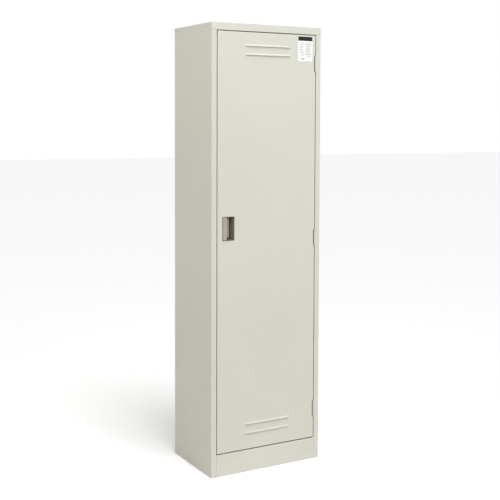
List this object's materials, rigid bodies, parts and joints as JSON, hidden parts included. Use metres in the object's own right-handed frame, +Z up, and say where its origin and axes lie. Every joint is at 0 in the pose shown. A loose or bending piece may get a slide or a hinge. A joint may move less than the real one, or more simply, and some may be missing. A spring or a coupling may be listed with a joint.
{
  "type": "steel locker cabinet",
  "caption": "Tall free-standing sheet-steel locker with a full-height hinged door, louvered vents, a recessed pull handle with a spring latch, and a shelf, hanger rod and hooks inside.",
  "frame": {"origin": "on the floor, under the middle of the bounding box", "axes": "+Z up, -Y is the door side, +X is the hinge side, which is the right of someone facing the door"},
  "size_m": [0.505, 0.342, 1.79],
  "materials": {
    "cabinet_paint": "satin",
    "lever_plastic": "satin",
    "housing_plastic": "satin",
    "zinc_steel": "satin",
    "spring_steel": "satin",
    "bumper_rubber": "matte",
    "label_paper": "matte"
  },
  "bodies": {
    "cabinet": {"left_side_panel": "cabinet_paint", "right_side_panel": "cabinet_paint", "back_panel": "cabinet_paint", "top_cap": "cabinet_paint", "plinth": "cabinet_paint", "floor_panel": "cabinet_paint", "rear_base_rail": "cabinet_paint", "hinge_lower_frame_leaf": "cabinet_paint", "hinge_lower_pin": "zinc_steel", "hinge_middle_frame_leaf": "cabinet_paint", "hinge_middle_pin": "zinc_steel", "hinge_upper_frame_leaf": "cabinet_paint", "hinge_upper_pin": "zinc_steel", "latch_keeper": "spring_steel", "door_bumper_lower": "bumper_rubber", "door_bumper_upper": "bumper_rubber", "shelf": "cabinet_paint", "shelf_clip_left_front": "zinc_steel", "shelf_clip_left_rear": "zinc_steel", "shelf_clip_right_front": "zinc_steel", "shelf_clip_right_rear": "zinc_steel", "hanger_rod": "zinc_steel", "rod_bracket_front": "zinc_steel", "rod_bracket_rear": "zinc_steel", "coat_hook_left": "zinc_steel", "coat_hook_right": "zinc_steel"},
    "door": {"door_panel": "cabinet_paint", "door_stiffener": "cabinet_paint", "hinge_lower_door_leaf": "cabinet_paint", "hinge_middle_door_leaf": "cabinet_paint", "hinge_upper_door_leaf": "cabinet_paint", "handle_housing": "housing_plastic", "lever_pin": "zinc_steel", "latch_spring": "spring_steel", "door_label": "label_paper"},
    "lever": {"handle_lever": "lever_plastic"},
    "bolt": {"latch_bolt": "zinc_steel"}
  },
  "joints": [
    {"name": "door_swing", "type": "hinge", "parent": "cabinet", "child": "door", "pos_m": [0.2275, -0.167, 0.9], "axis": [0, 0, 1], "range_deg": [0, 120], "deforming": ["latch_keeper"]},
    {"name": "lever_pull", "type": "hinge", "parent": "door", "child": "lever", "pos_m": [-0.1993, -0.1647, 0.986], "axis": [0, 0, -1], "range_deg": [0, 25]},
    {"name": "bolt_slide", "type": "slide", "parent": "door", "child": "bolt", "axis": [1, 0, 0], "range_m": [0, 0.0041], "stiffness_N_per_m": 250, "springref_m": -0.004, "deforming": ["latch_spring"]}
  ],
  "couplings": [
    {"joint": "lever_pull", "follows": "bolt_slide", "rad_per_m": 106.38}
  ]
}
